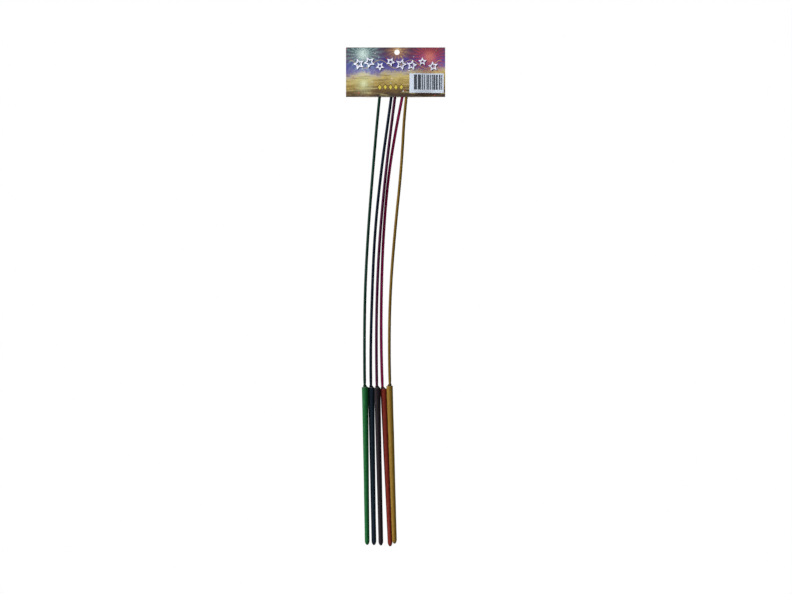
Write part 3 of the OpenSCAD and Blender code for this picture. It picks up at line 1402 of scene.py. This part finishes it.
@dataclass(frozen=True)
class Fountain:
    """One fountain: bowed stick, rolled tube, clay plug, charge and primed tip.

    The bow lists the stick's lean in degrees at equal steps up from the tube's mouth, and knots the
    heights of the bamboo's knots above the mouth. Lengths are millimetres. Each pair of dyes is the
    deep one and the pale one; for the nose it is the dyed paper's and the prime's.
    """

    dye: Dye
    bunch: Bunch
    bow: tuple[float, ...]
    layer: Layer
    drop: float
    bias: float
    knots: tuple[float, ...]
    seam: float
    stick_dyes: tuple[Colour, Colour]
    paper_dyes: tuple[Colour, Colour]
    nose_dyes: tuple[Colour, Colour]
    # shares of the tube's deep dye for the clay's deep, pale and fleck colours: the hue is the dye's
    # tint, the darkness is painted shade for the mouth's shadow
    clay_tint_and_painted_shade: tuple[float, float, float] = (0.2, 0.5, 0.1)
    clay_lift: float = 0.002

    @property
    def name(self) -> str:
        """The dye's word, which ends the names of the fountain's nodes."""
        return self.dye.value

    @property
    def order(self) -> int:
        """Place in the row, counted from the left."""
        return list(Dye).index(self.dye)

    def mouth(self) -> Matrix:
        """Place of the tube's mouth in the bunch.

        Returns:
            The matrix from mouth coordinates to the row frame, in millimetres.
        """
        bunch, side = self.bunch, self.layer.value
        across = bunch.middle_x + (self.order - bunch.middle) * bunch.pitch()
        up = -self.drop - bunch.path(self.bow, bunch.stick_l)[1]
        return (
            Matrix.Translation((0, side * bunch.layer_y, bunch.stick_top()))
            @ Matrix.Rotation(side * bunch.splay(), 4, "X")
            @ Matrix.Translation((across, 0, up))
        )

    def axis(self) -> Matrix:
        """Place of the tube's axis: mouth coordinates with the tube's lean."""
        return self.mouth() @ Matrix.Rotation(math.radians(self.bow[0]), 4, "Y")

    def foot(self) -> Matrix:
        """Place of the stick's line, which stands off the tube's axis by its bias.

        Returns:
            The matrix from the line's coordinates to the row frame, in millimetres.
        """
        lean = math.radians(self.bow[0])
        off = self.bias * self.bunch.seat_room()
        return self.mouth() @ Matrix.Translation((-off * math.cos(lean), 0, off * math.sin(lean)))

    def clay(self) -> GrainFinish:
        """Clay tinted with the tube's dye and darkened as painted shade for the shadow inside the tube's
        mouth.
        """
        # painted shade: the dye's colour scaled far down stands in for the shadow in the mouth; only the
        # tint is the clay's own
        dye_tint_and_painted_shade = (shade(self.paper_dyes[0], share, self.clay_lift) for share in self.clay_tint_and_painted_shade)
        return GrainFinish(f"clay_plug_{self.name}", *dye_tint_and_painted_shade)

    def dress(self, forms: Sequence["Form"], charge: bpy.types.Material) -> list[bpy.types.Object]:
        """Builds the fountain's visible pieces and finishes its CAD nodes.

        Args:
            forms: how its stick, tube and tip are made.
            charge: finish of the composition.

        Returns:
            The new pieces.
        """
        made = []
        for form in forms:
            piece = form.build(self)
            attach(piece, f"fountain_{self.name}")
            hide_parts(f"{form.node}_{self.name}")
            made.append(piece)
        set_finish(f"plug_{self.name}", self.clay().material())
        set_finish(f"charge_{self.name}", charge)
        return made


class Form(Protocol):
    """How one visible piece of a fountain is made and the CAD node that it stands for; its slot is a
    name that nothing here reads.
    """

    node: str
    slot: str

    def build(self, fountain: Fountain) -> bpy.types.Object:
        """Builds the fountain's piece."""


def even(radius: float) -> RadiusAt:
    """The same radius all round."""
    return lambda angle: radius


@dataclass(frozen=True)
class Roll:
    """Rings about a tube's axis and the skin over them.

    Each ring is a depth below the mouth and a radius by angle. Closed rings join the last to the
    first; open ones get caps. The roll attribute counts depth from the start.
    """

    rings: Sequence[tuple[float, RadiusAt]]
    sides: int
    closed: bool
    start: float = 0.0
    crisp: float = 38.0

    def mesh(self, name: str, place: Matrix, finish: bpy.types.Material) -> bpy.types.Mesh:
        """Skins the rings.

        Args:
            name: the mesh's name.
            place: the tube's axis in the row frame.
            finish: the material.

        Returns:
            The mesh, with a roll attribute of direction and depth.
        """
        shape = bmesh.new()
        angles = [2 * math.pi * k / self.sides for k in range(self.sides)]
        ways = [(math.cos(angle), math.sin(angle)) for angle in angles]
        rows = []
        for depth, radius in self.rings:
            reach = [radius(angle) for angle in angles]
            points = [Vector((r * x, r * y, -depth)) for r, (x, y) in zip(reach, ways)]
            rows.append([shape.verts.new(place @ point * MM) for point in points])
        following = rows[1:] + rows[:1] if self.closed else rows[1:]
        for upper, lower in zip(rows, following):
            for k in range(self.sides):
                m = (k + 1) % self.sides
                shape.faces.new((upper[k], lower[k], lower[m], upper[m]))
        if not self.closed:
            shape.faces.new(rows[0])
            shape.faces.new(rows[-1][::-1])
        bmesh.ops.recalc_face_normals(shape, faces=shape.faces)
        mesh = meshed(name, shape, finish)
        rolls = [part for depth, _ in self.rings for way in ways for part in (*way, depth - self.start)]
        mesh.attributes.new("roll", "FLOAT_VECTOR", "POINT").data.foreach_set("vector", rolls)
        smooth(mesh, self.crisp)
        return mesh


@dataclass(frozen=True)
class Stick:
    """A dyed stick, swept along its bow; lengths are millimetres and girths shares of its diameter."""

    tree: StickTree
    node: str = "stick"
    slot: str = "stick"
    step: float = 1.5
    sides: int = 20
    groove: float = 0.05
    seated: float = 0.985
    full: float = 1.1
    free_from: float = 2.0
    free_over: float = 6.0
    uneven: float = 0.012
    uneven_rate: float = 0.05
    lot_step: float = 7.3
    knot_swell: float = 0.05
    knot_half: float = 1.3

    def knot(self, fountain: Fountain, height: float) -> float:
        """Nearness of a knot: 1 on it, 0 away from it."""
        nearness = (math.exp(-((height - knot) / self.knot_half) ** 2) for knot in fountain.knots)
        return max(nearness, default=0.0)

    def girth(self, fountain: Fountain, height: float) -> float:
        """Girth of the stick, slim in its plug and full above it.

        Args:
            fountain: the stick's fountain.
            height: length along the stick above the tube's mouth.

        Returns:
            The girth as a share of the diameter.
        """
        lot = self.lot_step * fountain.order
        wobble = self.uneven * soft_noise.noise(Vector((height * self.uneven_rate, lot, 0.0)))
        gain = self.full - self.seated + wobble + self.knot_swell * self.knot(fountain, height)
        return self.seated + gain * ease((height - self.free_from) / self.free_over)

    def build(self, fountain: Fountain) -> bpy.types.Object:
        """Sweeps the stick with its tree.

        Args:
            fountain: the stick's fountain.

        Returns:
            The stick's piece.
        """
        bunch, place = fountain.bunch, fountain.foot()
        length = bunch.seat + bunch.stick_l
        count = round(length / self.step)
        heights = [length * k / count - bunch.seat for k in range(count + 1)]
        line = [bunch.path(fountain.bow, height) for height in heights]
        points = [place @ Vector((across, 0, up)) * MM for across, up in line]
        mesh = bpy.data.meshes.new(f"dyed_stick_{fountain.name}")
        mesh.from_pydata(points, [(k, k + 1) for k in range(count)], [])
        for name, at in (("girth", self.girth), ("ring", self.knot)):
            values = [at(fountain, height) for height in heights]
            mesh.attributes.new(name, "FLOAT", "POINT").data.foreach_set("value", values)
        stick = add_object(mesh.name, mesh)
        self.tree.apply(stick, {
            "Diameter": bunch.stick_d * MM,
            "Sides": self.sides,
            "Groove": self.groove * MM,
            "Seed": float(fountain.order),
            "Finish": BambooFinish(fountain.name, *fountain.stick_dyes).material(),
        })
        return stick


@dataclass(frozen=True)
class Tube:
    """A rolled paper tube with the sheet's free edge as a slow helical step, in millimetres."""

    node: str = "tube"
    slot: str = "paper"
    steps: int = 150
    bore_every: int = 5
    sides: int = 60
    lap: float = 0.1
    winding: float = 3.6
    dents: float = 0.02
    dent_rate: float = 0.07
    lot_step: float = 31.0

    def skin(self, fountain: Fountain, depth: float, angle: float) -> float:
        """Outer radius with the lap's step and faint dents.

        Args:
            fountain: the tube's fountain.
            depth: depth below the mouth.
            angle: direction from the axis.

        Returns:
            The radius.
        """
        bunch = fountain.bunch
        seam = fountain.seam + self.winding * depth / bunch.tube_l
        turn = ((angle - seam) / (2 * math.pi)) % 1.0
        lot = depth * self.dent_rate + self.lot_step * fountain.order
        dent = self.dents * soft_noise.noise(Vector((math.cos(angle), math.sin(angle), lot)))
        return bunch.skin_r(depth) + self.lap * (turn - 0.5) + dent

    def build(self, fountain: Fountain) -> bpy.types.Object:
        """Rolls the tube.

        Args:
            fountain: the tube's fountain.

        Returns:
            The tube's piece.
        """
        bunch = fountain.bunch
        depths = [bunch.tube_l * k / self.steps for k in range(self.steps + 1)]
        rings = [(depth, partial(self.skin, fountain, depth)) for depth in depths]
        rings += [(depth, even(bunch.bore_r(depth))) for depth in reversed(depths[::self.bore_every])]
        paper = PaperFinish(fountain.name, *fountain.paper_dyes).material()
        roll = Roll(rings, self.sides, closed=True)
        mesh = roll.mesh(f"paper_tube_{fountain.name}", fountain.axis(), paper)
        return add_object(mesh.name, mesh)


@dataclass(frozen=True)
class Tip:
    """A primed nose: a twisted paper end on a spigot that fills the tube, in millimetres."""

    node: str = "tip"
    slot: str = "prime"
    steps: int = 18
    sides: int = 56
    set_in: float = 0.06
    fullness: float = 1.8
    bluntness: float = 0.75
    pleats: int = 7
    twist: float = 1.1
    fold: float = 0.08
    fold_fade: float = 0.7
    crumbs: float = 0.07
    crumb_scale: float = 1.7
    crumb_length: float = 3.0
    lot_step: float = 17.0

    def nose(self, fountain: Fountain, share: float, angle: float) -> float:
        """Radius of the nose with twisted pleats and crumbs of prime.

        Args:
            fountain: the tip's fountain.
            share: 1 at the shoulder, 0 at the end.
            angle: direction from the axis.

        Returns:
            The radius.
        """
        bunch = fountain.bunch
        shoulder = bunch.skin_r(bunch.tube_l) - self.set_in
        swell = (1 - (1 - share) ** self.fullness) ** self.bluntness
        base = bunch.nose_r + (shoulder - bunch.nose_r) * swell
        depth = self.fold * math.sin(math.pi * share) ** self.fold_fade * base
        wave = math.cos(self.pleats * (angle + self.twist * (1 - share)))
        lot = self.crumb_length * share + self.lot_step * fountain.order
        here = Vector((math.cos(angle), math.sin(angle), lot)) * self.crumb_scale
        crumb = self.crumbs * soft_noise.noise(here) * (1 - share)
        return base - depth * (0.5 - 0.5 * wave) + crumb

    def build(self, fountain: Fountain) -> bpy.types.Object:
        """Forms the nose and its spigot.

        Args:
            fountain: the tip's fountain.

        Returns:
            The tip's piece.
        """
        bunch = fountain.bunch
        end = bunch.tube_l
        spigot = even(bunch.bore_r(end) - bunch.fit)
        rings = [(end - bunch.spigot_l, spigot), (end, spigot)]
        for k in range(self.steps + 1):
            share = 1 - k / self.steps
            rings.append((end + bunch.nose_l * (1 - share), partial(self.nose, fountain, share)))
        prime = PrimeFinish(fountain.name, *fountain.nose_dyes).material()
        roll = Roll(rings, self.sides, closed=False, start=end)
        mesh = roll.mesh(f"primed_tip_{fountain.name}", fountain.axis(), prime)
        return add_object(mesh.name, mesh)


def fountains(card: HeaderCard) -> list[Fountain]:
    """Lists the five fountains, each with its bow, place and dyes.

    Args:
        card: the card that holds them.

    Returns:
        The fountains from left to right.
    """
    lead_bow = (-0.8, 0.5, 3, 4.5, 5, 6.5)
    bunch = Bunch(lead_bow, card.bottom)
    return [
        Fountain(
            Dye.GREEN, bunch, lead_bow, Layer.FRONT,
            drop=0.0, bias=0.3, knots=(118.0, 262.0), seam=0.6,
            stick_dyes=(srgb(0, 30, 20), srgb(7, 50, 35)),
            paper_dyes=(srgb(11, 68, 29), srgb(25, 85, 44)),
            nose_dyes=(srgb(14, 68, 30), srgb(10, 42, 20)),
        ),
        Fountain(
            Dye.NAVY, bunch, (-1, 1.5, 2.5, 6, 8, 7.5), Layer.BACK,
            drop=1.0, bias=0.25, knots=(74.0, 236.0), seam=2.9,
            stick_dyes=(srgb(0, 11, 27), srgb(5, 28, 50)),
            paper_dyes=(srgb(11, 24, 34), srgb(22, 38, 51)),
            nose_dyes=(srgb(18, 26, 38), srgb(10, 16, 24)),
        ),
        Fountain(
            Dye.PURPLE, bunch, (-1.3, 0.5, 3, 5.5, 7, 7.5), Layer.FRONT,
            drop=1.0, bias=0.4, knots=(152.0,), seam=4.4,
            stick_dyes=(srgb(44, 0, 28), srgb(76, 12, 55)),
            paper_dyes=(srgb(22, 15, 19), srgb(34, 28, 32)),
            nose_dyes=(srgb(28, 20, 26), srgb(12, 9, 12)),
        ),
        Fountain(
            Dye.RED, bunch, (-2.45, 0, 2, 5, 10, 12), Layer.BACK,
            drop=3.0, bias=1.0, knots=(96.0, 274.0), seam=1.8,
            stick_dyes=(srgb(105, 3, 49), srgb(163, 35, 97)),
            paper_dyes=(srgb(104, 32, 22), srgb(122, 46, 37)),
            nose_dyes=(srgb(98, 32, 25), srgb(62, 18, 15)),
        ),
        Fountain(
            Dye.YELLOW, bunch, (-1.8, 1, 4.5, 6, 3, 8), Layer.FRONT,
            drop=-1.0, bias=-0.4, knots=(62.0, 208.0), seam=5.3,
            stick_dyes=(srgb(82, 61, 13), srgb(122, 98, 38)),
            paper_dyes=(srgb(107, 82, 25), srgb(121, 94, 39)),
            nose_dyes=(srgb(106, 84, 34), srgb(72, 54, 20)),
        ),
    ]


@dataclass(frozen=True)
class SoftLight:
    """A square soft light: its place and side in metres, and its power in watts."""

    name: str
    place: tuple[float, float, float]
    side: float
    power: float

    def build(self, target: Vector) -> None:
        """Sets the light up.

        Args:
            target: the place at which it is aimed.
        """
        data = bpy.data.lights.new(self.name, "AREA")
        data.shape = "SQUARE"
        data.size = self.side
        data.energy = self.power
        light = add_object(self.name, data)
        light.location = self.place
        light.rotation_euler = (target - light.location).to_track_quat("-Z", "Y").to_euler()


@dataclass(frozen=True)
class Studio:
    """Pale floor, soft light from the left and the camera, in metres."""

    lights: tuple[SoftLight, ...] = (
        SoftLight("key_left", (-1.85, -1.25, 0.25), side=1.3, power=70.0),
        SoftLight("rim_left", (-2.3, -0.3, 0.1), side=1.2, power=60.0),
        SoftLight("front_fill", (-0.3, -3.0, 0.3), side=1.8, power=5.0),
        SoftLight("back_fill", (0.6, 2.8, 0.4), side=1.8, power=64.0),
    )
    surround: float = 0.03
    floor_level: float = -1.6
    floor_radius: float = 8.0
    floor_sides: int = 128
    floor_colour: Colour = (0.3, 0.3, 0.3, 1.0)
    floor_rough: float = 0.9
    floor_glow: tuple[float, float] = (0.68, 1.0)
    floor_fade: tuple[float, float] = (0.3, 0.95)
    target: tuple[float, float, float] = (-0.00098, 0.0, -0.2466)
    distance: float = 2.4
    mm_per_pixel: float = 1.008
    sensor: float = 36.0

    def build_floor(self) -> None:
        """Lays a wide round floor below the hanging tips; its rim fades into the white surround."""
        finish = Surface("pale_floor")
        x, y, _ = finish.place()
        out = (x * x + y * y).math("SQRT") / (self.floor_radius / MM)
        near, rim = self.floor_glow
        finish.put("Base Color", self.floor_colour)
        finish.put("Roughness", self.floor_rough)
        finish.put("Specular IOR Level", 0.0)
        finish.put("Emission Color", WHITE)
        finish.put("Emission Strength", out.rise(*self.floor_fade) * (rim - near) + near)
        shape = bmesh.new()
        bmesh.ops.create_circle(
            shape, cap_ends=True, radius=self.floor_radius, segments=self.floor_sides,
            matrix=Matrix.Translation((0, 0, self.floor_level)),
        )
        add_object("pale_floor", meshed("pale_floor", shape, finish.material))

    def build_world(self) -> None:
        """Sets a white surround that lights the pack softly."""
        world = bpy.data.worlds.new("white_surround")
        world.use_nodes = True
        wiring = Wiring(world.node_tree)
        seen = wiring.tree.nodes["Background"]
        for name, value in (("Color", WHITE), ("Strength", 1.0)):
            feed(wiring.tree, seen.inputs[name], value)
        soft = wiring.add("ShaderNodeBackground", Color=WHITE, Strength=self.surround)
        pick = wiring.add("ShaderNodeMixShader")
        camera_ray = wiring.add("ShaderNodeLightPath").outputs["Is Camera Ray"]
        for socket, source in zip(pick.inputs, (camera_ray, soft.outputs[0], seen.outputs[0])):
            feed(wiring.tree, socket, source)
        feed(wiring.tree, wiring.tree.nodes["World Output"].inputs["Surface"], pick.outputs[0])
        bpy.context.scene.world = world

    def build_camera(self) -> None:
        """Sets the camera level with the pack's middle, far off behind a long lens."""
        data = bpy.data.cameras.new("camera")
        data.sensor_width = self.sensor
        data.lens = self.sensor * self.distance / (IMAGE_WIDTH * self.mm_per_pixel * MM)
        camera = add_object("camera", data)
        camera.location = Vector(self.target) - Vector((0, self.distance, 0))
        camera.rotation_euler = (math.pi / 2, 0, 0)
        bpy.context.scene.camera = camera

    def build(self) -> None:
        """Sets up the whole studio."""
        self.build_floor()
        self.build_world()
        for light in self.lights:
            light.build(Vector(self.target))
        self.build_camera()
        bpy.context.scene.view_settings.view_transform = "Standard"


def main() -> None:
    """Builds the card, the five fountains and the studio, and reports each piece."""
    logging.basicConfig(level=logging.INFO, format="%(message)s")
    card = HeaderCard()
    pieces = card.dress()
    forms = (Stick(StickTree()), Tube(), Tip())
    charge = GrainFinish("spark_charge", srgb(48, 48, 50), srgb(82, 82, 84), srgb(150, 150, 152))
    composition = charge.material()
    for fountain in fountains(card):
        pieces += fountain.dress(forms, composition)
    for piece in pieces:
        LOG.info("%s: %d faces", piece.name, len(piece.data.polygons))
    Studio().build()


if __name__ == "__main__":
    main()
